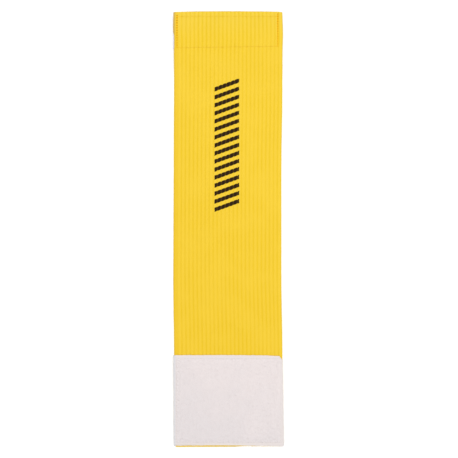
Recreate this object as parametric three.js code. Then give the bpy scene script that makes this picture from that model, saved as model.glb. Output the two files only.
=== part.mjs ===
// A sports armband lying open and flat, front side up: one strip of ribbed elastic, with a panel of
// soft loop tape sewn on the front of one end and a strip of hook tape sewn under the other end.
// Worn, the strip goes round the upper arm and the hooks grip the loops.
// Millimetres. +Z is up from the surface that it lies on, +Y runs along the strip towards the hook
// end, and +X goes across it. The origin is on that surface, under the middle of the whole.
import * as THREE from "three";

// The elastic: its thickness over the ribs, and the ribs between its two selvedges. The left selvedge
// is as wide as two ribs, with only a shallow groove down its middle.
const ELASTIC_THICKNESS = 1.5;
const STRIP_WIDTH = 88.6;
const LEFT_SELVEDGE = 6.2;
const RIGHT_SELVEDGE = 3.3;
const RIB_COUNT = 24;
const GROOVE_DEPTH = 0.3;
const SHALLOW_GROOVE_DEPTH = 0.15;
const CREST_SHARE = 0.56; // of a rib's width, flat at the top

// The elastic's outline, from the hook end to the loop end. Its side edges wander a little, as those
// of a real strip do: it is stretched on to the hook tape and narrows where it runs free.
const ELASTIC_OUTLINE = [
  { along: 179.35, left: -45.35, right: 44.2 },
  { along: 172, left: -45.55, right: 44.5 },
  { along: 164, left: -45.6, right: 44.8 },
  { along: 156, left: -44.85, right: 44.8 },
  { along: 148, left: -44.7, right: 44.3 },
  { along: 141, left: -44.7, right: 44.3 },
  { along: 134, left: -44.65, right: 44.4 },
  { along: 127, left: -44.65, right: 44.4 },
  { along: 120, left: -44.65, right: 44.35 },
  { along: 98, left: -44.75, right: 44.25 },
  { along: 65, left: -44.9, right: 43.6 },
  { along: 32, left: -45, right: 43.45 },
  { along: -9, left: -45.15, right: 43.5 },
  { along: -42, left: -45.3, right: 43.45 },
  { along: -66, left: -45.1, right: 43.8 },
  { along: -83, left: -44.8, right: 44.2 },
  { along: -104, left: -44.65, right: 44.4 },
  { along: -140, left: -44.1, right: 44.4 },
  { along: -179.55, left: -43.4, right: 44.2 },
];
const HOOK_END_BOW = 0.4; // the cut edge stands this much further out in the middle
const LOOP_END_SLANT = 0.4; // the cut edge runs this much off square

// The hook tape, hooks down: a woven base with rows of hooks, and a plain margin along each long edge
const HOOK_TAPE = { left: -45.7, right: 44.5, top: 178.8, width: 30.3, thickness: 1.8 };
const HOOK_BASE = 0.6;
const HOOK_MARGIN = 3;
const HOOK_ROWS = 13;
const HOOK_ROW_FOOT = 1.3;
const HOOK_ROW_TIP = 0.9;

// The loop tape, loops up: its corners going round from the top left, where one corner was snipped
const LOOP_CORNERS = [
  { x: -45.7, y: -103.8 },
  { x: -45.35, y: -178.1 },
  { x: 45.7, y: -179.2 },
  { x: 44.65, y: -107.9 },
  { x: 42.2, y: -104.6 },
];
// Its upper side, from the edge inwards: a margin, the seam's groove and the raised pile
const LOOP_PROFILE = [
  { inset: 0, height: 0 },
  { inset: 0, height: 0.7 },
  { inset: 0.5, height: 1.2 },
  { inset: 1.6, height: 1.35 },
  { inset: 2.6, height: 1 },
  { inset: 3.6, height: 1.5 },
  { inset: 5, height: 1.85 },
  { inset: 7, height: 1.9 },
];

// Sewn pieces lie this far apart, and the elastic comes down to the surface past the hook tape
const SEWN_GAP = 0.1;
const DRAPE_START = 147;
const DRAPE_END = 120;

const YELLOW = 0xf8d13d;
const WHITE = 0xe8e0e0;

// A closed solid through rings of equal length. Each ring turns anticlockwise seen from beyond the
// last one, and capFaces are triangles of ring indices that close a ring, turning the same way.
function loft(rings, capFaces) {
  const count = rings[0].length;
  const last = (rings.length - 1) * count;
  const faces = [];
  for (let ring = 0; ring < rings.length - 1; ring++) {
    for (let point = 0; point < count; point++) {
      const next = (point + 1) % count;
      const a = ring * count + point;
      const b = ring * count + next;
      faces.push(a, b, b + count);
      faces.push(a, b + count, a + count);
    }
  }
  for (const [a, b, c] of capFaces) {
    faces.push(c, b, a);
    faces.push(last + a, last + b, last + c);
  }
  const geometry = new THREE.BufferGeometry().setFromPoints(rings.flat());
  geometry.setIndex(faces);
  geometry.computeVertexNormals();
  return geometry;
}

function smoothstep(share) {
  const t = THREE.MathUtils.clamp(share, 0, 1);
  return t * t * (3 - 2 * t);
}

// How high the elastic's underside lies at a place along the strip
function liftAt(along) {
  const onTape = HOOK_TAPE.thickness + SEWN_GAP;
  return onTape * smoothstep((along - DRAPE_END) / (DRAPE_START - DRAPE_END));
}

// The grooves across the strip, from edge to edge. The edges themselves are as thin as a groove.
function grooves() {
  const pitch = (STRIP_WIDTH - LEFT_SELVEDGE - RIGHT_SELVEDGE) / RIB_COUNT;
  const places = [
    { across: 0, depth: GROOVE_DEPTH },
    { across: LEFT_SELVEDGE / 2, depth: SHALLOW_GROOVE_DEPTH },
  ];
  for (let rib = 0; rib <= RIB_COUNT; rib++) {
    places.push({ across: LEFT_SELVEDGE + rib * pitch, depth: GROOVE_DEPTH });
  }
  places.push({ across: STRIP_WIDTH, depth: GROOVE_DEPTH });
  return places;
}

// One side of the elastic's section, as shares of its width and depths below the ribs' crests:
// groove, crest, crest, groove and so on
function ribProfile() {
  const places = grooves();
  const slope = (1 - CREST_SHARE) / 2;
  return places.flatMap(({ across, depth }, index) => {
    const points = [{ share: across / STRIP_WIDTH, depth }];
    if (index < places.length - 1) {
      const rib = places[index + 1].across - across;
      points.push({ share: (across + slope * rib) / STRIP_WIDTH, depth: 0 });
      points.push({ share: (across + (1 - slope) * rib) / STRIP_WIDTH, depth: 0 });
    }
    return points;
  });
}

function elasticGeometry() {
  const profile = ribProfile();
  const lastRow = ELASTIC_OUTLINE.length - 1;
  const rings = ELASTIC_OUTLINE.map((row, index) => {
    const lift = liftAt(row.along);
    const bow = index === 0 ? HOOK_END_BOW : 0;
    const slant = index === lastRow ? LOOP_END_SLANT : 0;
    const place = ({ share, depth }, top) =>
      new THREE.Vector3(
        THREE.MathUtils.lerp(row.left, row.right, share),
        row.along + bow * 4 * share * (1 - share) + slant * (share - 0.5),
        top ? lift + ELASTIC_THICKNESS - depth : lift + depth,
      );
    const upper = profile.map((point) => place(point, true));
    const lower = profile.map((point) => place(point, false));
    return [...upper.reverse(), ...lower];
  });
  const count = profile.length;
  const capFaces = [];
  for (let point = 0; point < count - 1; point++) {
    const upper = count - 1 - point;
    const lower = count + point;
    capFaces.push([upper, lower, lower + 1]);
    capFaces.push([upper, lower + 1, upper - 1]);
  }
  return loft(rings, capFaces);
}

// The loop panel: rings of the outline drawn in towards its middle, each at its own height
function loopPanelGeometry() {
  const outline = LOOP_CORNERS.map(({ x, y }) => new THREE.Vector2(x, y));
  const box = new THREE.Box2().setFromPoints(outline);
  const middle = box.getCenter(new THREE.Vector2());
  const half = box.getSize(new THREE.Vector2()).multiplyScalar(0.5);
  const underside = ELASTIC_THICKNESS + SEWN_GAP;
  const rings = LOOP_PROFILE.map(({ inset, height }) =>
    outline.map(
      (point) =>
        new THREE.Vector3(
          middle.x + (point.x - middle.x) * (1 - inset / half.x),
          middle.y + (point.y - middle.y) * (1 - inset / half.y),
          underside + height,
        ),
    ),
  );
  return loft(rings, THREE.ShapeUtils.triangulateShape(outline, []));
}

// The hook panel: the tape's section, a base with a comb of hook rows under it, drawn out across
// the strip
function hookPanelGeometry() {
  const { left, right, top, width, thickness } = HOOK_TAPE;
  const foot = thickness - HOOK_BASE;
  const pitch = (width - 2 * HOOK_MARGIN) / HOOK_ROWS;
  const section = new THREE.Shape();
  section.moveTo(0, thickness);
  section.lineTo(0, foot);
  for (let row = 0; row < HOOK_ROWS; row++) {
    const middle = HOOK_MARGIN + (row + 0.5) * pitch;
    section.lineTo(middle - HOOK_ROW_FOOT / 2, foot);
    section.lineTo(middle - HOOK_ROW_TIP / 2, 0);
    section.lineTo(middle + HOOK_ROW_TIP / 2, 0);
    section.lineTo(middle + HOOK_ROW_FOOT / 2, foot);
  }
  section.lineTo(width, foot);
  section.lineTo(width, thickness);
  const geometry = new THREE.ExtrudeGeometry(section, { depth: right - left, bevelEnabled: false });
  // The section's axes become +Y and +Z, and it is drawn out along +X
  const axes = new THREE.Matrix4().makeBasis(
    new THREE.Vector3(0, 1, 0),
    new THREE.Vector3(0, 0, 1),
    new THREE.Vector3(1, 0, 0),
  );
  return geometry.applyMatrix4(axes).translate(left, top - width, 0);
}

function fabricMesh(name, geometry, colour, roughness) {
  const material = new THREE.MeshStandardMaterial({ color: colour, roughness, metalness: 0 });
  const mesh = new THREE.Mesh(geometry, material);
  mesh.name = name;
  return mesh;
}

const armband = new THREE.Group();
armband.add(fabricMesh("elastic_band", elasticGeometry(), YELLOW, 0.8));
armband.add(fabricMesh("loop_panel", loopPanelGeometry(), WHITE, 0.95));
armband.add(fabricMesh("hook_panel", hookPanelGeometry(), WHITE, 0.5));

export default armband;
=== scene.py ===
"""A sports armband lying open and flat, front side up.

Metres, in the model's own frame: +X across the strip, +Y along it towards the hook end, +Z up. Each
woven piece stands for its CAD node, and takes its outline, its place and its ribs from that node.
"""
import functools
import math

import bpy
import numpy as np
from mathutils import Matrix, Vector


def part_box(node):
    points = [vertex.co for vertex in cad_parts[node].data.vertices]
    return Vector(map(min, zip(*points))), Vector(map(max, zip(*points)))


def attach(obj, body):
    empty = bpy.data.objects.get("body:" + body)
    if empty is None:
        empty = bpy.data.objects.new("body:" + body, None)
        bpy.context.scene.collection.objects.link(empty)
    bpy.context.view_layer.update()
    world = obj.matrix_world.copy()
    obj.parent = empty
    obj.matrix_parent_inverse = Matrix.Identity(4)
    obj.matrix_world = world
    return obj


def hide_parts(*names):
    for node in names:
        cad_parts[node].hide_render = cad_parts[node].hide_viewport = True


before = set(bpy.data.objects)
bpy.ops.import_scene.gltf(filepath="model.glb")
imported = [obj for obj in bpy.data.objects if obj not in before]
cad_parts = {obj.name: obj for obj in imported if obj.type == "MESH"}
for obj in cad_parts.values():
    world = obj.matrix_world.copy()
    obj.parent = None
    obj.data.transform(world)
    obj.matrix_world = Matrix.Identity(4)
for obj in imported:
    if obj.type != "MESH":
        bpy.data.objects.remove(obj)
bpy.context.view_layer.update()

MM = 0.001
SEED = 7
rng = np.random.default_rng(SEED)

# The seams: lockstitch rectangles, each set in from the edges of the tape that it holds. The lower
# side may slant up towards the right, and the left and right sides may run on past the upper one.
# The cloth is drawn in by a groove along each seam, and by a hole where the needle went.
THREAD_RADIUS = 0.17 * MM
HOOK_SEAM = {
    "left": 3.25 * MM, "right": 3.75 * MM, "top": 3.25 * MM, "bottom": 1.25 * MM, "slant": 1.25 * MM,
    "overruns": (0.9 * MM, 2.1 * MM), "groove": 0.06 * MM, "hole": 0.12 * MM, "stitch": 2.0 * MM,
}
LOOP_SEAM = {
    "left": 2.6 * MM, "right": 2.3 * MM, "top": 2.9 * MM, "bottom": 3.0 * MM, "slant": 0,
    "overruns": (0, 0), "groove": 0.03 * MM, "hole": 0.06 * MM, "stitch": 2.3 * MM,
}
GROOVE_REACH, HOLE_REACH = 0.7 * MM, 0.55 * MM
PUCKER_HEIGHT, PUCKER_REACH = 0.05 * MM, 3.5 * MM
TAPE_BACK_PULL, ELASTIC_BACK_PULL = 0.6, 0.9  # how much of the pull shows on the back

# How the front of the hook end shows each side of its seam in painted shade: the shadow in its
# needle holes as dots, the shade along the line between them, how evenly both show, and how much of
# them is left at the lower end, from 0 to 1
HOOK_SEAM_SHADE_SHOWS = {
    "bottom": (0.06, 0.0, 0.0, 1.0),
    "right": (1.0, 1.0, 0.85, 0.55),
    "top": (0.1, 0.08, 0.2, 1.0),
    "left": (1.0, 0.85, 0.85, 0.65),
}
DOT_FADES, LINE_FADES = (0.25, 0.75), (0.3, 0.9)  # mm from a hole and from the line
SIDE_RUNS_ON = 0.3  # mm past its last hole

# The hook end: its two corners are a little rounded, and its left edge rolls down over the tape
LEFT_CORNER_DROP, LEFT_CORNER_REACH = 0.22 * MM, 9 * MM
RIGHT_CORNER_DROP, RIGHT_CORNER_REACH = 0.3 * MM, 2 * MM
ROLL_STARTS = 161.5 * MM
ROLL_WIDTH = 2.6 * MM
ROLL_DROP = 0.55 * MM
ROLL_INWARD = 0.18 * MM
TAPE_INWARD = 0.45 * MM  # how far the tape's own edge is drawn in there

# Below the rolled part, the tape's pale edge shows beside the elastic, whose edge lies further in
STEP_STARTS = 149 * MM
STEP_EDGE = -44.55 * MM
EDGE_EASE = 1.2 * MM  # half the length of each change along that edge
HOOK_TRIM = 0.3 * MM  # the hook tape's lower side is trimmed

# The ribs aren't quite in line: how far they have strayed to the right at a share of the width, and
# at a place along the strip, in mm. They meet both edges.
STRAY_SHARES = (0, 0.1, 0.5, 0.85, 1)
STRAY_PLACES = (-90, -75, -38, 4, 136, 146, 156, 165, 172)
STRAYS = {
    0.1: (0.25, 0.2, -0.1, -0.2, 0.05, 0.15, 0.5, 1.0, 1.05),
    0.5: (0.6, 0.55, 0.3, -0.05, 0.45, 0.5, 0.7, 1.1, 1.15),
    0.85: (0.65, 0.65, 0.15, 0.3, 0.35, 0.2, 0.35, 0.4, 0.5),
}

# The elastic's selvedges are a little uneven, thinner at the very edge, and stand out in between
SELVEDGE_WANDER, SELVEDGE_ROUND, SELVEDGE_BULGE = 0.03 * MM, 0.12 * MM, 0.18 * MM

# The elastic's loop end was cut shorter on the right, from one share of its width to the other, and
# the rest stands out a little more
SHORTER_FROM, SHORTER_TO = 0.52, 0.68
SHORTER_BY = 0.6 * MM
LONGER_BY = 0.06 * MM

# The loop tape's two cut sides rise in the middle by a little and fall at the left, the snipped
# corner hangs lower, and the left side is trimmed, more so towards its lower end
BOW_MIDDLE = 14 * MM
TOP_RISE, TOP_FALL = 0.3 * MM, 0.6 * MM
BOTTOM_RISE, BOTTOM_FALL = 0.22 * MM, 0.96 * MM
SNIPPED_DROP, SNIPPED_STARTS = 0.35 * MM, 30 * MM
LEFT_TRIM_TOP, LEFT_TRIM_BOTTOM = 0.27 * MM, 0.5 * MM
SIDE_REACH = 3 * MM  # how far in from a side its bow or trim is felt
LEFT_BAND_FULL, LEFT_BAND_ENDS = 1.4 * MM, 2.6 * MM  # of the darker, bluish band down the left side
# How wide the painted light at the loop tape's two cut edges is
CUT_EDGE_WIDTH = 0.7 * MM

# The printed mark: a row of plain slanted bars down the strip
MARK_LEFT, MARK_RIGHT = -11.5, 8.9  # mm
MARK_BOTTOM, MARK_TOP = 14.2, 124.8  # mm
BAR_COUNT = 16
BAR_THICKNESS = 3.65  # mm
BAR_SLANT = math.tan(math.radians(20))
BEADING = 0.4  # mm, how much narrower each side of a bar is in a groove

# Painted shade: the loop pile is greyer towards its lower left, between these values of y + x / 2
SHADING_STARTS, SHADING_ENDS = -97, -190  # mm

# Painted shade on the elastic: it is darker yellow along its left selvedge, and towards its lower
# left between these values of y + 1.2 x, but this painted shade gives way at the loop end's cut edge,
# which is paler. Over the hook tape it is paler too, more so towards the cut edge there, and the
# painted shade in its grooves is stronger. On the seam's left and right sides its thread, strained
# there, takes the deeper orange of painted seam shade.
SHADED_SELVEDGE = (1.0, 4.4)  # mm in from the left edge
SHADE_SLANT, MOST_SHADE, LEAST_SHADE = 1.2, -140, 150
LOOP_CUT = (-178.6, -177)  # mm, as are the rest
TAPED = (152, 180)
DARKER_FROM, DARKER_TO = -6, 2  # past the hook seam's lower side
SEAM_SHADE_SIDES, SEAM_SHADE_UPPER = (38, 40), (148, 176)

# The fine weaves: how far apart their lines are, in mm
ELASTIC_WEFT, ELASTIC_YARN = 0.72, 0.47
TAPE_WARP, TAPE_WEFT = 0.42, 0.55
THREAD_TWIST = 0.3

# Colours, linear
CREST_YELLOW = (0.774, 0.529, 0.042, 1)
# Painted shade: the elastic's darker yellow, also the yellow thread's shade
SHADE_YELLOW = (0.722, 0.473, 0.028, 1)
TAPED_YELLOW = (0.765, 0.534, 0.0545, 1)  # over the pale hook tape, near the cut end
# Painted shade in the grooves between the ribs, multiplied in
GROOVE_SHADE_TINT = (0.938, 0.923, 0.4, 1)
# Painted shade along the seam's line and in its needle holes
SEAM_SHADE_ORANGE = (0.8, 0.45, 0.001, 1)
HOLE_SHADE_ORANGE = (0.43, 0.17, 0.0003, 1)
# The orange of painted seam shade, on the thread's strained sides
SEAM_SHADE_THREAD = (0.92, 0.54, 0.003, 1)
# Painted shade on the rolled left rim, which faces away from the light
ROLLED_SHADE_BROWN = (0.508, 0.336, 0.091, 1)
YELLOW_SHEEN = (1, 0.8, 0.2, 1)
INK = (0.0185, 0.007, 0.002, 1)
# Painted light: the fibres are a little lighter than the pile they lie on
FIBRE_WHITE = (0.765, 0.7, 0.69, 1)
PILE_WHITE = (0.722, 0.6595, 0.651, 1)
PILE_SHADE = (0.694, 0.6355, 0.633, 1)
# Painted shade towards the loop tape's lower left
PILE_SHADED_GREY = (0.655, 0.613, 0.618, 1)
# Painted light on the loop tape: a little along its seam, more at its two cut edges
TAPE_PAINTED_LIGHT = (0.788, 0.722, 0.711, 1)
MARGIN_WHITE = (0.66, 0.603, 0.589, 1)
MARGIN_SHADED_GREY = (0.634, 0.582, 0.567, 1)
LEFT_BAND_WHITE = (0.586, 0.574, 0.594, 1)
TAPE_WHITE = (0.80, 0.74, 0.77, 1)
TAPE_SHADE = (0.60, 0.58, 0.68, 1)
HOOK_WHITE = (0.86, 0.85, 0.88, 1)
HOOK_SHADE = (0.708, 0.699, 0.726, 1)
THREAD_WHITE = (0.75, 0.70, 0.70, 1)
THREAD_SHADE = (0.62, 0.585, 0.59, 1)
FLOOR_WHITE = (0.96, 0.96, 0.96, 1)
FLOOR_SHADE = (0.925, 0.927, 0.93, 1)
WHITE = (1, 1, 1, 1)

# The camera: straight above, at the photograph's scale and with its small offset
SCALE = 0.825 * MM  # a pixel's width on the strip
SHARP_PLANE = 3.4 * MM  # the height that this scale holds at
IMAGE_SIDE = 458
STRIP_MIDDLE_PIXEL = (228.4, 229.25)
LENS, SENSOR = 100, 36

# The lights: each one's place and side in metres, and its power in watts
LIGHTS = {"key": ((0.3, 0.4, 1.8), 1.6, 17), "fill": ((-0.9, -0.5, 1.6), 1.4, 4)}
WORLD_STRENGTH = 0.84


# Reading the frame

TOLERANCE = 0.01 * MM  # between vertices that are at the same place on an axis


def numbers(items, name, width, kind=float):
    """A named property of every vertex, edge or face, one row each."""
    values = np.empty(len(items) * width, kind)
    items.foreach_get(name, values)
    return values.reshape(-1, width)


def corner_points(node):
    return numbers(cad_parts[node].data.vertices, "co", 3)


def cut(node, axis, place):
    """The points where the plane axis = place cuts the edges of a CAD node's mesh."""
    points = corner_points(node)
    ends = numbers(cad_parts[node].data.edges, "vertices", 2, np.int32)
    a, b = points[ends[:, 0]], points[ends[:, 1]]
    crossing = (a[:, axis] <= place) != (b[:, axis] <= place)
    a, b = a[crossing], b[crossing]
    share = (place - a[:, axis]) / (b[:, axis] - a[:, axis])
    return a + share[:, None] * (b - a)


def smoothed(values, reach):
    """A running mean over reach neighbours each way."""
    window = np.ones(2 * reach + 1) / (2 * reach + 1)
    return np.convolve(np.pad(values, reach, mode="edge"), window, mode="valid")


def smoothstep(low, high, value):
    t = np.clip((value - low) / (high - low), 0, 1)
    return t * t * (3 - 2 * t)


def ripple(wavelength, count=24):
    """A smooth random surface of x and y with about that wavelength, mostly between -1 and 1."""
    angle = rng.uniform(0, 2 * math.pi, count)
    number = 2 * math.pi / wavelength * rng.uniform(0.7, 1.4, count)
    phase = rng.uniform(0, 2 * math.pi, count)

    def height(x, y):
        total = 0
        for a, k, p in zip(angle, number, phase):
            total = total + np.cos(k * (np.cos(a) * x + np.sin(a) * y) + p)
        return total / math.sqrt(2 * count)

    return height


# The shapes that the pieces follow


class Seam:
    """A rectangle of lockstitch round a tape, each side going anticlockwise."""

    def __init__(self, node, kind):
        low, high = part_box(node)
        self.left, self.right = low.x + kind["left"], high.x - kind["right"]
        self.bottom, self.top = low.y + kind["bottom"], high.y - kind["top"]
        self.groove, self.hole, self.stitch = kind["groove"], kind["hole"], kind["stitch"]
        left_overrun, right_overrun = kind["overruns"]
        lower_left, lower_right, upper_right, upper_left = np.array([
            (self.left, self.bottom), (self.right, self.bottom + kind["slant"]),
            (self.right, self.top), (self.left, self.top),
        ])
        self.sides = [
            ("bottom", lower_left, lower_right),
            ("right", lower_right, upper_right + (0, right_overrun)),
            ("top", upper_right, upper_left),
            ("left", upper_left + (0, left_overrun), lower_left),
        ]

    def pitch(self, length):
        """The stitches' length on a side of that length, which holds a whole number of them."""
        return length / round(length / self.stitch)

    def stitches(self):
        """Each stitch's two needle holes."""
        starts, ends = [], []
        for _, a, b in self.sides:
            holes = np.linspace(a, b, round(np.linalg.norm(b - a) / self.stitch) + 1)
            starts.append(holes[:-1])
            ends.append(holes[1:])
        return np.concatenate(starts), np.concatenate(ends)

    def inside(self, x, y):
        """How far inside the rectangle a place is, below zero outside it."""
        return np.min([x - self.left, self.right - x, y - self.bottom, self.top - y], axis=0)

    def distance(self, x, y):
        """How far a place is from the nearest stitching."""
        return np.min([across for _, across, _ in self.by_side(x, y)], axis=0)

    def by_side(self, x, y):
        """For each side: how far along it and across from it a place is, and its stitch."""
        for _, a, b in self.sides:
            length = np.linalg.norm(b - a)
            way = (b - a) / length
            along = (x - a[0]) * way[0] + (y - a[1]) * way[1]
            across = (x - a[0]) * -way[1] + (y - a[1]) * way[0]
            beyond = np.maximum(np.maximum(-along, along - length), 0)
            yield along, np.hypot(across, beyond), self.pitch(length)

    def pull(self, x, y):
        """How far the seam draws a surface in: a groove along it, and deeper at each needle hole."""
        depth = 0
        for along, across, stitch in self.by_side(x, y):
            from_hole = np.abs((along / stitch + 0.5) % 1 - 0.5) * stitch
            groove = self.groove * np.exp(-((across / GROOVE_REACH) ** 2))
            hole = self.hole * np.exp(-(across**2 + from_hole**2) / HOLE_REACH**2)
            depth = np.maximum(depth, groove + hole)
        return depth

    def pucker(self, x, y):
        """The small ridges that run away from each stitch."""
        height = 0
        for along, across, stitch in self.by_side(x, y):
            ridge = np.cos(2 * math.pi * along / stitch) * np.exp(-((across / PUCKER_REACH) ** 2))
            height = height - PUCKER_HEIGHT * ridge
        return height


class Elastic:
    """The strip of elastic as a function of a place on it, read from its CAD node."""

    NODE = "elastic_band"
    STATIONS = 240
    END_CLEARANCE = 0.8 * MM  # the first and last cuts stay clear of the slanted and bowed ends
    CREST_SHARPNESS = 3.2  # of a rib's section: 2 is round, and more is flatter on top
    LEFT_REACH, RIGHT_REACH, LIFT_REACH, STRAY_REACH = 2, 5, 2, 4  # stations, for smoothing
    SWELL = 0.35 * MM  # how far it rises off the floor where nothing holds it down
    SWELL_EASE = 30 * MM
    DRAPE = 25 * MM  # how far from the hook tape it has come down to the floor
    CREST_UNEVEN = 0.02 * MM
    SPREAD = 0.08 * MM  # how far its selvedges' threads stand out past the CAD node's edges

    def __init__(self):
        low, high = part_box(self.NODE)
        start, end = low.y + self.END_CLEARANCE, high.y - self.END_CLEARANCE
        self.stations = np.linspace(start, end, self.STATIONS)
        cuts = [cut(self.NODE, 1, station) for station in self.stations]
        lowest = np.array([points.min(0) for points in cuts])
        rightmost = np.array([points[:, 0].max() for points in cuts])
        self.left_edge = smoothed(lowest[:, 0], self.LEFT_REACH) - self.SPREAD
        self.right_edge = smoothed(rightmost, self.RIGHT_REACH) + self.SPREAD
        self.lift_line = smoothed(lowest[:, 2], self.LIFT_REACH)
        self.strays = {}
        for at, strays in STRAYS.items():
            strays = np.interp(self.stations / MM, STRAY_PLACES, strays)
            self.strays[at] = smoothed(strays, self.STRAY_REACH) * MM
        self.read_ends()
        self.read_ribs()
        self.swell = ripple(60 * MM)
        self.edge_wander = ripple(9 * MM)
        self.crest_wander = ripple(14 * MM)
        hook_low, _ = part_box("hook_panel")
        _, loop_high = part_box("loop_panel")
        self.free_from, self.free_to = loop_high.y, hook_low.y - self.DRAPE

    def read_ends(self):
        """The cut ends' places along the strip, for shares of its width."""
        self.end_shares = np.linspace(0.01, 0.99, 33)
        width = self.right_edge - self.left_edge
        at_loop = self.left_edge[0] + self.end_shares * width[0]
        at_hook = self.left_edge[-1] + self.end_shares * width[-1]
        self.loop_end = [cut(self.NODE, 0, x)[:, 1].min() for x in at_loop]
        self.hook_end = [cut(self.NODE, 0, x)[:, 1].max() for x in at_hook]

    def ends(self, share):
        """Where the loop end and the hook end are cut, at a share of the width."""
        return [np.interp(share, self.end_shares, end) for end in (self.loop_end, self.hook_end)]

    def read_ribs(self):
        """The grooves' places as shares of the width, and their depths, from one ring of vertices."""
        points = corner_points(self.NODE)
        station = points[np.abs(points[:, 1]).argmin(), 1]
        ring = points[np.abs(points[:, 1] - station) < TOLERANCE]
        self.thickness = np.ptp(ring[:, 2])
        top = ring[ring[:, 2] > ring[:, 2].mean()]
        _, first = np.unique(top[:, 0].round(6), return_index=True)
        top = top[first]
        depth = top[:, 2].max() - top[:, 2]
        grooves = depth > 0.05 * MM
        self.width = np.ptp(top[:, 0])
        self.grooves = (top[grooves, 0] - top[0, 0]) / self.width
        self.groove_depths = depth[grooves]

    def edges(self, y):
        return [np.interp(y, self.stations, edge) for edge in (self.left_edge, self.right_edge)]

    def lift(self, y):
        return np.interp(y, self.stations, self.lift_line)

    def groove(self, share):
        """How deep below the ribs' crests a place is, both sides alike."""
        rib = np.clip(np.searchsorted(self.grooves, share, side="right") - 1, 0, len(self.grooves) - 2)
        start, end = self.grooves[rib], self.grooves[rib + 1]
        within = np.clip(2 * (share - start) / (end - start) - 1, -1, 1)
        nearer = np.where(within < 0, self.groove_depths[rib], self.groove_depths[rib + 1])
        return nearer * np.abs(within) ** self.CREST_SHARPNESS

    def rise(self, x, y):
        """How far the free part has risen off the floor, beyond its lift over the hook tape."""
        free = smoothstep(self.free_from, self.free_from + self.SWELL_EASE, y)
        free = free * smoothstep(self.free_to, self.free_to - self.SWELL_EASE, y)
        return self.SWELL * free * (0.5 + 0.5 * np.clip(self.swell(x, y), -1, 1))

    def stray(self, share, y):
        """How far to the right the ribs have strayed."""
        total = 0
        for at, strays in self.strays.items():
            weight = np.interp(share, STRAY_SHARES, [float(place == at) for place in STRAY_SHARES])
            total = total + weight * np.interp(y, self.stations, strays)
        return total

    def across(self, share, y):
        """The place across the strip of a share of its ribs."""
        left, right = self.edges(y)
        return left + share * (right - left) + self.stray(share, y)

    def share(self, x, y):
        """The share of its ribs at a place, found in steps because the ribs stray by it."""
        left, right = self.edges(y)
        share = (x - left) / (right - left)
        for _ in range(3):
            share = (x - left - self.stray(share, y)) / (right - left)
        return share

    def top(self, x, y, share=None):
        share = self.share(x, y) if share is None else share
        crest = self.CREST_UNEVEN * self.crest_wander(x, y)
        return self.lift(y) + self.rise(x, y) + self.thickness - self.groove(share) + crest

    def bottom(self, x, y, share=None):
        share = self.share(x, y) if share is None else share
        return self.lift(y) + self.rise(x, y) + self.groove(share)


# Meshes

ACROSS = np.array([[1.0, 0.0, 0.0]])  # the direction across the strip


def add_object(name, data):
    added = bpy.data.objects.new(name, data)
    bpy.context.scene.collection.objects.link(added)
    return added


def add_mesh(name, points, faces, material):
    mesh = bpy.data.meshes.new(name)
    mesh.from_pydata(points.tolist(), [], faces)
    mesh.materials.append(material)
    mesh.shade_smooth()
    return add_object(name, mesh)


def add_attribute(piece, name, values):
    layer = piece.data.attributes.new(name, "FLOAT", "POINT")
    layer.data.foreach_set("value", values.astype(np.float32))


def add_bake_map(piece, halves=None):
    """A flat map for baked textures, seen from above. halves says for each face whether it
    belongs to the top, on the map's left, or the bottom, on its right."""
    mesh = piece.data
    points = numbers(mesh.vertices, "co", 3)
    corners = numbers(mesh.loops, "vertex_index", 1, np.int32)[:, 0]
    flat = points[corners, :2]
    low, high = flat.min(0), flat.max(0)
    flat = 0.01 + 0.98 * (flat - low) / (high - low)
    if halves is not None:
        counts = numbers(mesh.polygons, "loop_total", 1, np.int32)[:, 0]
        flat[:, 0] = (flat[:, 0] + np.repeat(~np.asarray(halves), counts)) / 2
    layer = mesh.uv_layers.new(name="OFBake")
    layer.uv.foreach_set("vector", flat.astype(np.float32).ravel())


def slab(name, x, y, top, bottom, material, bulge=0.0, attributes=()):
    """A closed sheet over a grid of places, rows by columns, with x rising along each row and y from
    row to row. Its walls stand out by bulge at mid height. attributes are names with their values on
    the grid's top and bottom."""
    rows, columns = x.shape
    grid = np.arange(rows * columns).reshape(rows, columns)
    rim = np.concatenate([grid[0, :-1], grid[:-1, -1], grid[-1, :0:-1], grid[:0:-1, 0]])
    inner = np.clip(np.arange(rows), 1, rows - 2)[:, None], np.clip(np.arange(columns), 1, columns - 2)
    outward = np.stack([x - x[inner], y - y[inner]], -1).reshape(-1, 2)[rim]
    outward /= np.linalg.norm(outward, axis=1, keepdims=True)
    upper = np.stack([x, y, top], -1).reshape(-1, 3)
    lower = np.stack([x, y, bottom], -1).reshape(-1, 3)
    middle = (upper[rim] + lower[rim]) / 2
    middle[:, :2] += bulge * outward
    below, between = len(upper), 2 * len(upper)

    corners = grid[:-1, :-1], grid[:-1, 1:], grid[1:, 1:], grid[1:, :-1]
    a, b, c, d = (corner.ravel() for corner in corners)
    ring = between + np.arange(len(rim))
    ahead, rim_ahead = np.roll(ring, -1), np.roll(rim, -1)
    faces = np.concatenate([
        np.stack([a, b, c, d], -1),
        np.stack([ring, ahead, rim_ahead, rim], -1),
        np.stack([d, c, b, a], -1) + below,
        np.stack([rim + below, rim_ahead + below, ahead, ring], -1),
    ])
    piece = add_mesh(name, np.concatenate([upper, lower, middle]), faces.tolist(), material)
    for label, on_top, on_bottom in attributes:
        on_top, on_bottom = np.ravel(on_top), np.ravel(on_bottom)
        add_attribute(piece, label, np.concatenate([on_top, on_bottom, on_top[rim]]))
    add_bake_map(piece, np.arange(len(faces)) < len(a) + len(rim))
    return piece


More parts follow.
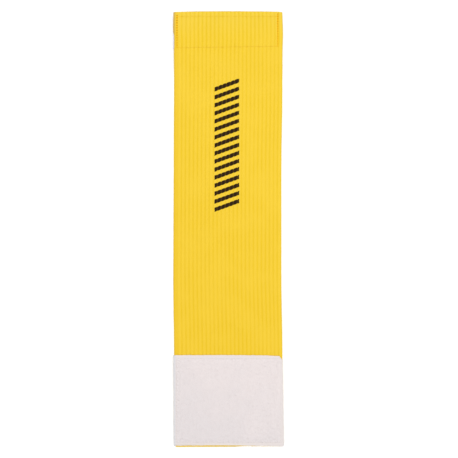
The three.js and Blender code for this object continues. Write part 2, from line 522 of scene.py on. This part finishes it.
def tubes(name, paths, radii, sideways, material, sides, attribute=None):
    """Many closed tubes as one mesh. paths is tubes by points by 3, radii is one for each point of a
    path, and sideways holds a direction that is square to each tube all along, or one for all tubes.
    attribute is a name with its value at each point of a path."""
    count, steps, _ = paths.shape
    forward = np.gradient(paths, axis=1)
    forward /= np.linalg.norm(forward, axis=2, keepdims=True)
    sideways = np.broadcast_to(sideways[:, None, :], paths.shape)
    upward = np.cross(forward, sideways)
    upward /= np.linalg.norm(upward, axis=2, keepdims=True)
    angle = 2 * math.pi * np.arange(sides) / sides
    ring = np.cos(angle)[:, None] * sideways[:, :, None] + np.sin(angle)[:, None] * upward[:, :, None]
    points = paths[:, :, None, :] + np.asarray(radii)[:, None, None] * ring

    index = np.arange(count * steps * sides).reshape(count, steps, sides)
    near, far = index[:, :-1], index[:, 1:]
    quads = np.stack([near, np.roll(near, -1, 2), np.roll(far, -1, 2), far], -1).reshape(-1, 4)
    faces = quads.tolist() + index[:, 0, ::-1].tolist() + index[:, -1].tolist()
    piece = add_mesh(name, points.reshape(-1, 3), faces, material)
    if attribute:
        label, values = attribute
        add_attribute(piece, label, np.tile(np.repeat(values, sides), count))
    add_bake_map(piece)
    return piece


def graded(*spans):
    """Places from span to span, each span given as its start, its end and its spacing."""
    places = [np.linspace(a, b, max(2, round((b - a) / step) + 1))[:-1] for a, b, step in spans]
    return np.append(np.concatenate(places), spans[-1][1])


# Materials


class Shade:
    """A material's node tree, built by short calls that take numbers or sockets."""

    def __init__(self, name):
        self.material = bpy.data.materials.new(name)
        self.material.use_nodes = True
        self.tree = self.material.node_tree
        self.shader = self.tree.nodes["Principled BSDF"]
        place = self.node("TexCoord", {}, "Object")
        self.place = self.node("VectorMath", {0: place, "Scale": 1 / MM}, operation="SCALE")
        self.x, self.y = (self.node("SeparateXYZ", {0: self.place}, axis) for axis in "XY")

    def feed(self, node, inputs):
        for name, value in inputs.items():
            if isinstance(value, bpy.types.NodeSocket):
                self.tree.links.new(value, node.inputs[name])
            else:
                node.inputs[name].default_value = value

    def node(self, kind, inputs, output=0, **settings):
        """An output of a new node with those settings and inputs, which go by name or number."""
        node = self.tree.nodes.new("ShaderNode" + kind)
        for name, value in settings.items():
            setattr(node, name, value)
        self.feed(node, inputs)
        return node.outputs[output]

    def math(self, operation, *values, clamp=False):
        return self.node("Math", dict(enumerate(values)), operation=operation, use_clamp=clamp)

    def scaled(self, value, by, plus):
        return self.math("MULTIPLY_ADD", value, by, plus)

    def total(self, *values):
        return functools.reduce(functools.partial(self.math, "ADD"), values)

    def product(self, *values):
        return functools.reduce(functools.partial(self.math, "MULTIPLY"), values)

    def ramp(self, value, low, high, start=0.0, end=1.0):
        """Smoothly from start at low to end at high."""
        inputs = dict(enumerate((value, low, high, start, end)))
        return self.node("MapRange", inputs, interpolation_type="SMOOTHSTEP")

    def mix(self, factor, first, second, blend="MIX"):
        inputs = {0: factor, 6: first, 7: second}
        return self.node("Mix", inputs, 2, data_type="RGBA", blend_type=blend)

    def noise(self, size, detail=2.0):
        """Noise from 0 to 1 with spots of about that size, in millimetres."""
        return self.node("TexNoise", {"Vector": self.place, "Scale": 1 / size, "Detail": detail})

    def lines(self, value, pitch, wander=0.0):
        """Fine lines across a value in millimetres, from 0 to 1, their phase moved by wander."""
        phase = self.scaled(value, 2 * math.pi / pitch, wander)
        return self.scaled(self.math("SINE", phase), 0.5, 0.5)

    def from_nearest(self, value, pitch):
        """How far a value is past the nearest multiple of pitch, or below zero if short of it."""
        turned = self.math("FLOORED_MODULO", self.total(value, pitch / 2), pitch)
        return self.total(turned, -pitch / 2)

    def attribute(self, name):
        return self.node("Attribute", {}, "Fac", attribute_name=name)

    def bump(self, height, depth):
        """Relief of that depth, in millimetres, for a height from 0 to 1."""
        bump = self.node("Bump", {"Distance": depth * MM, "Height": height})
        self.feed(self.shader, {"Normal": bump})

    def finish(self, colour, roughness, specular, sheen=0.0, sheen_tint=WHITE):
        self.feed(self.shader, {
            "Base Color": colour, "Roughness": roughness, "Specular IOR Level": specular,
            "Sheen Weight": sheen, "Sheen Roughness": 0.5, "Sheen Tint": sheen_tint,
        })
        return self.material


def printed_bars(shade, groove):
    """Where the mark's ink lies, from 0 to 1: a row of slanted bars, a little narrower where they
    cross a groove between two ribs."""
    middle, half = (MARK_LEFT + MARK_RIGHT) / 2, (MARK_RIGHT - MARK_LEFT) / 2
    reach = BAR_SLANT * half
    row = MARK_TOP - MARK_BOTTOM - 2 * reach
    pitch = (row - BAR_THICKNESS) / (BAR_COUNT - 1)
    gap = pitch - BAR_THICKNESS
    soft = 0.16
    wobble = shade.scaled(shade.noise(1.1), 0.6, -0.3)
    narrowed = shade.product(groove, BEADING)

    sideways = shade.math("SUBTRACT", shade.x, middle)
    along = shade.scaled(sideways, -BAR_SLANT, shade.y)
    along = shade.total(along, wobble, -(MARK_BOTTOM + reach))
    from_bar = shade.from_nearest(shade.total(along, -BAR_THICKNESS / 2), pitch)
    from_bar = shade.total(shade.math("ABSOLUTE", from_bar), narrowed)
    in_bar = shade.ramp(from_bar, BAR_THICKNESS / 2 - soft, BAR_THICKNESS / 2 + soft, 1.0, 0.0)
    from_centre = shade.math("ABSOLUTE", shade.total(along, -row / 2))
    in_row = shade.math("LESS_THAN", from_centre, (row + gap) / 2)
    from_middle = shade.math("ABSOLUTE", shade.total(sideways, wobble))
    in_width = shade.ramp(from_middle, half - soft, half + soft, 1.0, 0.0)
    return shade.product(in_bar, in_row, in_width)


def seam_shade_marks(shade, seam, shows):
    """Painted shade at a seam: in its needle holes, and along the line between them, each from 0 to 1.
    """
    holes, lines = 0.0, 0.0
    patchy = shade.ramp(shade.noise(6.0, detail=1.0), 0.4, 0.65)
    for name, a, b in seam.sides:
        length = np.linalg.norm(b - a) / MM
        stitch = seam.pitch(length * MM) / MM
        way = (b - a) / MM / length
        from_x, from_y = shade.total(shade.x, -a[0] / MM), shade.total(shade.y, -a[1] / MM)
        along = shade.scaled(from_x, way[0], shade.product(from_y, way[1]))
        across = shade.scaled(from_x, -way[1], shade.product(from_y, way[0]))
        from_middle = shade.math("ABSOLUTE", shade.total(along, -length / 2))
        on_side = shade.math("LESS_THAN", from_middle, length / 2 + SIDE_RUNS_ON)
        from_hole = shade.from_nearest(along, stitch)
        apart = shade.math("SQRT", shade.scaled(across, across, shade.product(from_hole, from_hole)))
        dots_show, line_shows, even, low = shows[name]
        fade = shade.ramp(shade.y, seam.bottom / MM, seam.top / MM, low, 1.0)
        evenly = shade.scaled(patchy, 1 - even, even)
        shown = shade.product(on_side, evenly, fade)
        hole_shade = shade.ramp(apart, *DOT_FADES, dots_show, 0.0)
        line = shade.ramp(shade.math("ABSOLUTE", across), *LINE_FADES, line_shows, 0.0)
        holes = shade.math("MAXIMUM", holes, shade.product(hole_shade, shown, fade))
        lines = shade.math("MAXIMUM", lines, shade.product(line, shown))
    return holes, lines


def elastic_material(seam):
    shade = Shade("yellow_ribbed_elastic")
    groove, across, front = (shade.attribute(name) for name in ("groove", "across", "front"))
    uneven = shade.noise(2.5)
    weft = shade.lines(shade.y, ELASTIC_WEFT, wander=shade.product(uneven, 3.0))
    yarns = shade.lines(across, ELASTIC_YARN, wander=shade.product(uneven, 2.0))
    blotches = shade.noise(24.0, detail=3.0)
    patches = shade.ramp(blotches, 0.3, 0.7, -0.07, 0.07)
    # Painted shade at the left selvedge and the lower left, less at the loop end's cut edge
    selvedge = shade.ramp(across, *SHADED_SELVEDGE, 0.7, 0.0)
    slope = shade.scaled(shade.x, SHADE_SLANT, shade.y)
    lower_left = shade.product(
        shade.ramp(slope, MOST_SHADE, LEAST_SHADE, 0.4, 0.0), shade.ramp(shade.y, *LOOP_CUT, -0.5, 1.0)
    )
    patches_and_shade = shade.math("ADD", patches, shade.total(selvedge, lower_left), clamp=True)
    colour = shade.mix(shade.ramp(shade.y, *TAPED), CREST_YELLOW, TAPED_YELLOW)
    colour = shade.mix(patches_and_shade, colour, SHADE_YELLOW)
    # Painted shade in the grooves, uneven, stronger over the hook tape, with the weft's fine lines
    deepened = shade.ramp(blotches, 0.35, 0.6, 0.6, 1.05)
    seam_low = seam.bottom / MM
    stretched = shade.ramp(shade.y, seam_low + DARKER_FROM, seam_low + DARKER_TO, 1.0, 1.25)
    groove_shade = shade.product(shade.math("POWER", groove, 0.7), deepened, stretched)
    fine = shade.scaled(weft, -0.22, 0.12)
    groove_shade_and_weft = shade.math("ADD", groove_shade, fine, clamp=True)
    colour = shade.mix(groove_shade_and_weft, colour, GROOVE_SHADE_TINT, blend="MULTIPLY")
    # Painted shade along the hook seam's line and in its needle holes
    holes, lines = seam_shade_marks(shade, seam, HOOK_SEAM_SHADE_SHOWS)
    colour = shade.mix(shade.product(lines, front), colour, SEAM_SHADE_ORANGE)
    colour = shade.mix(shade.product(holes, front), colour, HOLE_SHADE_ORANGE)
    # Painted shade on the rolled left rim
    rim = shade.ramp(shade.attribute("rolled"), 0.25, 0.6, 0.0, 0.65)
    colour = shade.mix(rim, colour, ROLLED_SHADE_BROWN)
    worn = shade.scaled(shade.product(groove, weft), -0.12, 1.0)
    ink = shade.product(printed_bars(shade, groove), front, worn)
    colour = shade.mix(ink, colour, INK)
    shade.bump(shade.scaled(weft, 0.6, shade.product(shade.total(yarns, uneven), 0.3)), 0.12)
    roughness = shade.scaled(weft, -0.1, 0.85)
    return shade.finish(colour, roughness, specular=0.12, sheen=0.05, sheen_tint=YELLOW_SHEEN)


def pile_material():
    shade = Shade("white_loop_pile")
    pile, seam = shade.attribute("pile"), shade.attribute("seam")
    left, cut_edge = shade.attribute("left_margin"), shade.attribute("cut_edge")
    fuzz = shade.noise(0.5, detail=4.0)
    tufts = shade.noise(1.6, detail=3.0)
    mixed = shade.product(shade.total(fuzz, tufts), 0.5)
    colour = shade.mix(shade.ramp(mixed, 0.62, 0.36), PILE_WHITE, PILE_SHADE)
    # Painted shade towards the lower left, made patchy by noise
    slope = shade.scaled(shade.x, 0.5, shade.y)
    slope = shade.total(slope, shade.scaled(shade.noise(22.0, detail=3.0), 80, -40))
    shading = shade.ramp(slope, SHADING_STARTS, SHADING_ENDS)
    colour = shade.mix(shading, colour, PILE_SHADED_GREY)
    margin = shade.mix(shading, MARGIN_WHITE, MARGIN_SHADED_GREY)
    colour = shade.mix(shade.ramp(pile, 0.0, 0.15), margin, colour)
    # Painted light: a little along the seam, more at the two cut edges
    colour = shade.mix(shade.product(seam, 0.1), colour, TAPE_PAINTED_LIGHT)
    colour = shade.mix(cut_edge, colour, TAPE_PAINTED_LIGHT)
    colour = shade.mix(left, colour, LEFT_BAND_WHITE)
    shade.bump(mixed, 0.2)
    return shade.finish(colour, roughness=0.95, specular=0.1, sheen=0.15)


def mottled_material(name, size, first, second, roughness, specular, sheen=0.0):
    """Two colours mixed in spots of about that size, in millimetres."""
    shade = Shade(name)
    colour = shade.mix(shade.noise(size), first, second)
    return shade.finish(colour, roughness, specular, sheen)


def tape_material():
    shade = Shade("white_woven_tape")
    warp = shade.lines(shade.y, TAPE_WARP)
    weft = shade.lines(shade.x, TAPE_WEFT, wander=shade.product(warp, 1.5))
    uneven = shade.noise(3.0)
    weave = shade.product(shade.scaled(warp, weft, uneven), 0.5)
    colour = shade.mix(weave, TAPE_SHADE, TAPE_WHITE)
    shade.bump(weave, 0.15)
    return shade.finish(colour, roughness=0.6, specular=0.3, sheen=0.05)


def thread_material(name, colour, shadow, tint, seam_shade=None):
    """A twisted thread, with painted shade in its twist and where it goes down into a needle hole. Where
    it is pulled tight, on the seam's left and right sides and most at their upper ends, it takes the
    deeper orange of painted seam shade, in the open and in a hole."""
    shade = Shade(name)
    deep = shade.attribute("deep")
    twist = shade.lines(shade.total(shade.x, shade.y), THREAD_TWIST)
    uneven = shade.noise(1.5)
    shade.bump(twist, 0.04)
    shaded = shade.mix(shade.product(twist, uneven), colour, shadow)
    shaded = shade.mix(shade.product(deep, 0.5), shaded, shadow)
    if seam_shade:
        shaded_in_the_open, shaded_in_a_hole = seam_shade
        by_side = shade.ramp(shade.math("ABSOLUTE", shade.x), *SEAM_SHADE_SIDES)
        pulled = shade.product(by_side, shade.ramp(shade.y, *SEAM_SHADE_UPPER, 0.35, 1.0))
        shaded = shade.mix(pulled, shaded, shaded_in_the_open)
        shaded = shade.mix(shade.product(pulled, deep), shaded, shaded_in_a_hole)
    return shade.finish(shaded, roughness=0.6, specular=0.06, sheen=0.04, sheen_tint=tint)


# The pieces


def rolled_edge(y):
    """Where the elastic's left edge rolls down over the hook tape's, from 0 to 1."""
    return smoothstep(ROLL_STARTS - EDGE_EASE, ROLL_STARTS + EDGE_EASE, y)


def stepped_edge(y):
    """Where the elastic's left edge lies further in, so that the tape shows, from 0 to 1."""
    return smoothstep(STEP_STARTS - EDGE_EASE, STEP_STARTS + EDGE_EASE, y) * (1 - rolled_edge(y))


def ribbed_elastic(elastic, hook_seam, loop_seam, material):
    """The elastic: ribbed both sides, drawn in along both seams, with softly uneven selvedges."""
    within = np.array([0, 0.08, 0.26, 0.5, 0.74, 0.92])  # a rib, finer near its grooves
    ribs = [a + within * (b - a) for a, b in zip(elastic.grooves[:-1], elastic.grooves[1:])]
    shares = np.append(np.concatenate(ribs), 1.0)
    loop_end, hook_end = elastic.ends(shares)
    low, high = loop_end.min(), hook_end.max()
    plain_from, plain_to = loop_seam.top + 4 * MM, hook_seam.bottom - 4 * MM
    rows = graded(
        (low, plain_from, 0.95 * MM), (plain_from, plain_to, 2.1 * MM), (plain_to, high, 0.6 * MM)
    )
    rows = (rows - low) / (high - low)
    from_left = shares * elastic.width
    from_right = elastic.width - from_left
    loop_end += SHORTER_BY * smoothstep(SHORTER_FROM, SHORTER_TO, shares) - LONGER_BY
    hook_end -= LEFT_CORNER_DROP * np.exp(-((from_left / LEFT_CORNER_REACH) ** 2))
    hook_end -= RIGHT_CORNER_DROP * np.exp(-((from_right / RIGHT_CORNER_REACH) ** 2))
    y = loop_end + rows[:, None] * (hook_end - loop_end)
    share = np.broadcast_to(shares, y.shape)
    left, _ = elastic.edges(y)
    from_middle = np.abs(2 * share - 1)
    uneven = SELVEDGE_WANDER * from_middle**12 * elastic.edge_wander(share * 10, y)
    x = elastic.across(share, y) + uneven
    near_left = smoothstep(ROLL_WIDTH, 0, share * elastic.width)
    rolled = rolled_edge(y) * near_left
    x = x + ROLL_INWARD * rolled**2 + (STEP_EDGE - left) * stepped_edge(y) * near_left
    top = elastic.top(x, y, share) - hook_seam.pull(x, y) + hook_seam.pucker(x, y)
    top = top - ROLL_DROP * rolled
    bottom = elastic.bottom(x, y, share) + ELASTIC_BACK_PULL * loop_seam.pull(x, y)
    edge_round = SELVEDGE_ROUND * from_middle**60
    groove = elastic.groove(share) / elastic.groove_depths.max()
    across = share * elastic.width / MM
    return slab(
        "ribbed_elastic", x, y, top - edge_round, bottom + edge_round, material, SELVEDGE_BULGE,
        attributes=[
            ("groove", groove, groove),
            ("across", across, across),
            ("front", np.ones(x.shape), np.zeros(x.shape)),
            ("rolled", rolled, rolled),
        ],
    )


def outline(node):
    """A flat CAD node's corners seen from above, anticlockwise from its lower left one."""
    points = corner_points(node)
    foot = points[points[:, 2] < points[:, 2].min() + TOLERANCE]
    corners = np.unique(foot[:, :2].round(6), axis=0)
    middle = (corners.min(0) + corners.max(0)) / 2
    turn = np.arctan2(*(corners - middle).T[::-1])
    corners = corners[np.argsort(turn)]
    first = np.argmin(corners.sum(1))
    return np.roll(corners, -first, axis=0)


def walked(points, count):
    """That many places along a line of corners, evenly spaced."""
    length = np.append(0, np.cumsum(np.linalg.norm(np.diff(points, axis=0), axis=1)))
    at = np.linspace(0, length[-1], count)
    return np.stack([np.interp(at, length, points[:, axis]) for axis in (0, 1)], -1)


def patch(corners, columns, rows):
    """A grid of places that fills an outline of four sides, of which one may have a snipped corner."""
    box = np.array([corners.min(0), corners.max(0)])
    targets = [(box[i, 0], box[j, 1]) for i, j in ((0, 0), (1, 0), (1, 1), (0, 1))]
    found = [int(np.argmin(np.linalg.norm(corners - target, axis=1))) for target in targets]
    closed = np.append(corners, corners[:1], axis=0)
    bottom = walked(closed[found[0]:found[1] + 1], columns)
    right = walked(closed[found[1]:found[2] + 1], rows)
    top = walked(closed[found[2]:found[3] + 1], columns)[::-1]
    left = walked(closed[found[3]:], rows)[::-1]
    u = np.linspace(0, 1, columns)[None, :, None]
    v = np.linspace(0, 1, rows)[:, None, None]
    ruled = (1 - v) * bottom + v * top + (1 - u) * left[:, None] + u * right[:, None]
    twice = (
        (1 - u) * (1 - v) * bottom[0] + u * (1 - v) * bottom[-1] + u * v * top[-1] + (1 - u) * v * top[0]
    )
    grid = ruled - twice
    return grid[..., 0], grid[..., 1]


def edge_distance(x, y, corners):
    """How far inside a convex outline a place is."""
    distance = np.full(x.shape, np.inf)
    for a, b in zip(corners, np.roll(corners, -1, axis=0)):
        way = (b - a) / np.linalg.norm(b - a)
        distance = np.minimum(distance, way[0] * (y - a[1]) - way[1] * (x - a[0]))
    return distance


def uneven_edges(x, y, edge, wander, amount):
    """A tape's places, moved by about that amount where they are near its edge."""
    at_edge = np.exp(-edge / (1.0 * MM))
    x = x + amount * at_edge * wander(x * 0, y)
    return x, y + amount * at_edge * wander(x, y * 0)


class LoopTape:
    """The loop tape's upper side: a flat margin, the seam's groove and the raised pile."""

    MARGIN_DEPTH = 0.55 * MM  # below the CAD node's top
    EDGE_DROP, EDGE_REACH = 0.7 * MM, 0.9 * MM
    PILE_RISE, PILE_REACH = 0.5 * MM, 4.4 * MM
    TUFTS, CLUMPS = 0.03, 0.04  # mm
    MARGIN_SHARE = 0.4  # of the unevenness of the pile

    def __init__(self, seam):
        self.low, self.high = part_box("loop_panel")
        self.corners = outline("loop_panel")
        self.seam = seam
        self.tufts, self.clumps = ripple(1.7 * MM), ripple(6 * MM)
        self.wander = ripple(7 * MM)

    def pile(self, x, y):
        return smoothstep(0, self.PILE_REACH, self.seam.inside(x, y))

    def top(self, x, y):
        edge = edge_distance(x, y, self.corners)
        pile = self.pile(x, y)
        fallen = self.EDGE_DROP * np.clip(1 - edge / self.EDGE_REACH, 0, 1) ** 2
        uneven = self.TUFTS * self.tufts(x, y) + self.CLUMPS * self.clumps(x, y)
        uneven = uneven * (self.MARGIN_SHARE + (1 - self.MARGIN_SHARE) * pile)
        height = self.high.z - self.MARGIN_DEPTH - fallen + self.PILE_RISE * pile + uneven * MM
        return height - self.seam.pull(x, y) + self.seam.pucker(x, y)


def loop_tape(tape, material):
    x, y = patch(tape.corners, columns=198, rows=164)
    edge = edge_distance(x, y, tape.corners)
    x, y = uneven_edges(x, y, edge, tape.wander, amount=0.1 * MM)
    upper = smoothstep(tape.low.y, tape.high.y, y)
    rise = BOTTOM_RISE + (TOP_RISE - BOTTOM_RISE) * upper
    fall = BOTTOM_FALL + (TOP_FALL - BOTTOM_FALL) * upper
    bow = rise - fall * ((x - BOW_MIDDLE) / (BOW_MIDDLE - tape.low.x)) ** 2
    trim = LEFT_TRIM_BOTTOM + (LEFT_TRIM_TOP - LEFT_TRIM_BOTTOM) * upper
    bow = bow - SNIPPED_DROP * upper * smoothstep(SNIPPED_STARTS, tape.high.x - 2 * MM, x)
    y = y + bow * np.exp(-((edge / SIDE_REACH) ** 2))
    x = x + trim * smoothstep(SIDE_REACH, 0, x - tape.low.x)
    pile = tape.pile(x, y)
    # Where the material paints light: a little along the seam, more at the two cut edges
    seam = tape.seam.pull(x, y) / (tape.seam.groove + tape.seam.hole)
    left = smoothstep(LEFT_BAND_ENDS, LEFT_BAND_FULL, x - tape.low.x)
    cut_edge = smoothstep(CUT_EDGE_WIDTH, 0, np.minimum(y - y[0], y[-1] - y))
    flat = np.zeros(x.shape)
    return slab(
        "loop_tape", x, y, tape.top(x, y), flat + tape.low.z, material,
        attributes=[
            ("pile", pile, flat),
            ("seam", seam, flat),
            ("left_margin", left, flat),
            ("cut_edge", cut_edge, flat),
        ],
    )


def loop_pile(name, tape, material):
    """Fine curled fibres that lie over the pile every way, with both ends in it."""
    spacing, inset = 0.93 * MM, 0.5 * MM
    radius, sunk = 0.05 * MM, 0.08 * MM
    across = np.arange(tape.seam.left + inset, tape.seam.right - inset, spacing)
    along = np.arange(tape.seam.bottom + inset, tape.seam.top - inset, spacing)
    x, y = (grid.ravel() for grid in np.meshgrid(across, along))
    x = x + rng.uniform(-0.5, 0.5, x.shape) * spacing
    y = y + rng.uniform(-0.5, 0.5, y.shape) * spacing
    turn = rng.uniform(0, 2 * math.pi, x.shape)
    reach = rng.uniform(0.45, 0.95, x.shape) * MM
    sway = rng.uniform(-0.6, 0.6, x.shape) * MM
    height = rng.uniform(0.1, 0.2, x.shape) * MM
    step = np.array([-1, -0.6, 0, 0.6, 1])
    arch = np.cos(step * math.pi / 2)
    way, square = np.stack([np.cos(turn), np.sin(turn)]), np.stack([-np.sin(turn), np.cos(turn)])
    forward = way[:, :, None] * (reach[:, None] * step)
    swayed = square[:, :, None] * (sway[:, None] * arch)
    x_path, y_path = np.stack([x, y])[:, :, None] + forward + swayed
    z_path = tape.top(x_path, y_path) + height[:, None] * np.sqrt(arch) - sunk
    paths = np.stack([x_path, y_path, z_path], -1)
    sideways = np.stack([*square, 0 * x], -1)
    return tubes(name, paths, np.full(len(step), radius), sideways, material, sides=3)


def hook_tape(seam, material):
    """The hook tape's woven base, and the height of its underside."""
    low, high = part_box("hook_panel")
    points = corner_points("hook_panel")
    base = points[points[:, 1] < low.y + 0.5 * MM, 2].min()
    corners = np.array([(low.x, low.y), (high.x, low.y), (high.x, high.y), (low.x, high.y)])
    x, y = patch(corners, columns=150, rows=52)
    edge = edge_distance(x, y, corners)
    x, y = uneven_edges(x, y, edge, ripple(6 * MM), amount=0.08 * MM)
    x = x + TAPE_INWARD * rolled_edge(y) * smoothstep(SIDE_REACH, 0, x - low.x)
    y = y + HOOK_TRIM * smoothstep(1.2 * MM, 0, y - low.y)
    flat = np.zeros(x.shape)
    bottom = base + TAPE_BACK_PULL * seam.pull(x, y)
    return slab("hook_tape", x, y, flat + high.z, bottom, material), base


def hooks(seam, base, material):
    """Rows of small bent hooks under the tape, most of which lean their row's way."""
    low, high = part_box("hook_panel")
    points = corner_points("hook_panel")
    tips = np.unique(points[points[:, 2] < low.z + TOLERANCE, 1].round(6))
    rows = tips.reshape(-1, 2).mean(1)
    inset, spacing = 1.2 * MM, 0.9 * MM
    places = np.arange(low.x + inset, high.x - inset, spacing)
    x, y = (grid.ravel() for grid in np.meshgrid(places, rows))
    way = np.repeat((-1.0) ** np.arange(len(rows)), len(places)) * rng.choice([1, 1, 1, -1], x.shape)
    x = x + rng.uniform(-0.12, 0.12, x.shape) * MM
    clear = seam.distance(x, y) > 0.5 * MM
    x, y, way = x[clear], y[clear], way[clear]
    bend, radius = 0.27 * MM, 0.095 * MM
    stem = np.array([(-bend, base + 0.1 * MM), (-bend, bend + 0.35 * MM)])
    turn = np.radians(np.linspace(180, 360, 7))
    arc = np.stack([bend * np.cos(turn), bend + radius + bend * np.sin(turn)], -1)
    tip = np.array([(0.8 * bend, bend + 0.25 * MM)])
    section = np.concatenate([stem, arc, tip])
    x_path = x[:, None] + 0.1 * MM * rng.uniform(-1, 1, (len(x), 1)) * section[:, 1] / base
    y_path = y[:, None] + way[:, None] * section[:, 0]
    paths = np.stack(np.broadcast_arrays(x_path, y_path, section[:, 1]), -1)
    radii = np.full(len(section), radius)
    radii[-1] = 0.6 * radius
    return tubes("hooks", paths, radii, ACROSS, material, sides=5)


def thread(name, seam, surface, pulled, outward, material):
    """A seam's thread on one side of the cloth: a short bridge from each needle hole to the next.
    surface gives the cloth's height but for a share of the seam's pull, pulled. outward is 1 above
    the cloth and -1 below."""
    starts, ends = seam.stitches()
    along = np.array([0.03, 0.12, 0.3, 0.5, 0.7, 0.88, 0.97])
    height = np.array([-0.45, -0.12, 0.03, 0.08, 0.03, -0.12, -0.45]) * MM
    places = starts[:, None] + along[:, None] * (ends - starts)[:, None]
    x, y = places[..., 0], places[..., 1]
    heights = outward * (surface(x, y) - outward * pulled * seam.pull(x, y))
    taut = (heights + heights.max(axis=1, keepdims=True)) / 2
    z = np.maximum(outward * (taut + height), THREAD_RADIUS)
    paths = np.concatenate([places, z[..., None]], -1)
    way = (ends - starts) / np.linalg.norm(ends - starts, axis=1, keepdims=True)
    sideways = np.stack([-way[:, 1], way[:, 0], np.zeros(len(way))], -1)
    radii = THREAD_RADIUS * np.array([0.7, 1, 1, 1, 1, 1, 0.7])
    # How far into a needle hole each point goes; the thread's material paints shade there
    deep = np.array([1, 0.7, 0, 0, 0, 0.7, 1])
    return tubes(name, paths, radii, sideways, material, sides=6, attribute=("deep", deep))


def frayed_ends(elastic, material):
    """Short ends of yarn that stand out of the elastic's two cut ends."""
    count = 150
    share = np.sort(rng.uniform(0.015, 0.985, 2 * count))
    outward = np.repeat([-1.0, 1.0], count)[rng.permutation(2 * count)]
    y = np.where(outward < 0, *elastic.ends(share))
    left, right = elastic.edges(y)
    x = left + share * (right - left)
    z = elastic.lift(y) + rng.uniform(0.35, 1.15, x.shape) * MM
    length = rng.uniform(0.1, 0.35, x.shape) * MM
    drift = rng.uniform(-0.3, 0.3, (2, *x.shape)) * MM
    steps = np.array([-0.8, 0, 0.5, 1])
    radii = np.array([0.06, 0.06, 0.05, 0.03]) * MM
    bend = np.clip(steps, 0, 1) ** 2
    x_path = x[:, None] + drift[0][:, None] * bend
    y_path = y[:, None] + (outward * length)[:, None] * steps
    z_path = z[:, None] + drift[1][:, None] * bend * 0.6
    paths = np.stack([x_path, y_path, z_path], -1)
    return tubes("frayed_ends", paths, radii, ACROSS, material, sides=4)


# The floor, the lights and the camera


def add_floor():
    reach, drop = 6.0, 0.03 * MM
    points = np.array([(x, y, -drop) for y in (-reach, reach) for x in (-reach, reach)])
    material = mottled_material(
        "pale_floor", 400.0, FLOOR_WHITE, FLOOR_SHADE, roughness=0.9, specular=0.1
    )
    floor = add_mesh("floor", points, [[0, 1, 3, 2]], material)


def add_light(name, place, size, power):
    light = bpy.data.lights.new(name, "AREA")
    light.shape = "SQUARE"
    light.size = size
    light.energy = power
    lamp = add_object(name, light)
    lamp.location = place
    lamp.rotation_euler = (-lamp.location).to_track_quat("-Z", "Y").to_euler()


def add_world():
    world = bpy.data.worlds.new("studio")
    world.use_nodes = True
    background = world.node_tree.nodes["Background"]
    background.inputs["Color"].default_value = WHITE
    background.inputs["Strength"].default_value = WORLD_STRENGTH
    bpy.context.scene.world = world


def add_camera():
    lens = bpy.data.cameras.new("camera")
    lens.lens, lens.sensor_width = LENS, SENSOR
    camera = add_object("camera", lens)
    middle = IMAGE_SIDE / 2
    height = IMAGE_SIDE * SCALE * LENS / SENSOR
    camera.location = (
        (middle - STRIP_MIDDLE_PIXEL[0]) * SCALE,
        (STRIP_MIDDLE_PIXEL[1] - middle) * SCALE,
        height + SHARP_PLANE,
    )
    bpy.context.scene.camera = camera


# Putting it together

add_camera()
add_floor()
add_world()
for name, (place, size, power) in LIGHTS.items():
    add_light(name, place, size, power)
bpy.context.scene.view_settings.view_transform = "Standard"

hook_seam = Seam("hook_panel", HOOK_SEAM)
loop_seam = Seam("loop_panel", LOOP_SEAM)
elastic = Elastic()
yellow_thread = thread_material(
    "yellow_thread", CREST_YELLOW, SHADE_YELLOW, YELLOW_SHEEN, seam_shade=(SEAM_SHADE_THREAD, HOLE_SHADE_ORANGE)
)
white_thread = thread_material("white_thread", THREAD_WHITE, THREAD_SHADE, WHITE)
band_material = elastic_material(hook_seam)

band = ribbed_elastic(elastic, hook_seam, loop_seam, band_material)
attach(band, "root")
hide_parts("elastic_band")

tape = LoopTape(loop_seam)
panel = loop_tape(tape, pile_material())
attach(panel, "root")
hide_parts("loop_panel")

# The fibres are painted a little lighter than the pile they lie on, as painted light
fibre = mottled_material(
    "white_loop_fibre", 1.2, FIBRE_WHITE, PILE_WHITE, roughness=0.6, specular=0.25, sheen=0.1
)
pile = [loop_pile(name, tape, fibre) for name in ("loop_pile_a", "loop_pile_b")]
for piece in pile:
    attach(piece, "root")

hook_base, base_height = hook_tape(hook_seam, tape_material())
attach(hook_base, "root")
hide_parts("hook_panel")

hook_plastic = mottled_material(
    "clear_white_hooks", 2.0, HOOK_SHADE, HOOK_WHITE, roughness=0.35, specular=0.5
)
hook_field = hooks(hook_seam, base_height, hook_plastic)
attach(hook_field, "root")

threads = [
    thread("hook_seam_front", hook_seam, elastic.top, 1, 1, yellow_thread),
    thread("hook_seam_back", hook_seam, lambda x, y: base_height, TAPE_BACK_PULL, -1, yellow_thread),
    thread("loop_seam_front", loop_seam, tape.top, 0, 1, white_thread),
    thread("loop_seam_back", loop_seam, elastic.bottom, ELASTIC_BACK_PULL, -1, white_thread),
]
for piece in threads:
    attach(piece, "root")

fray = frayed_ends(elastic, band_material)
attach(fray, "root")
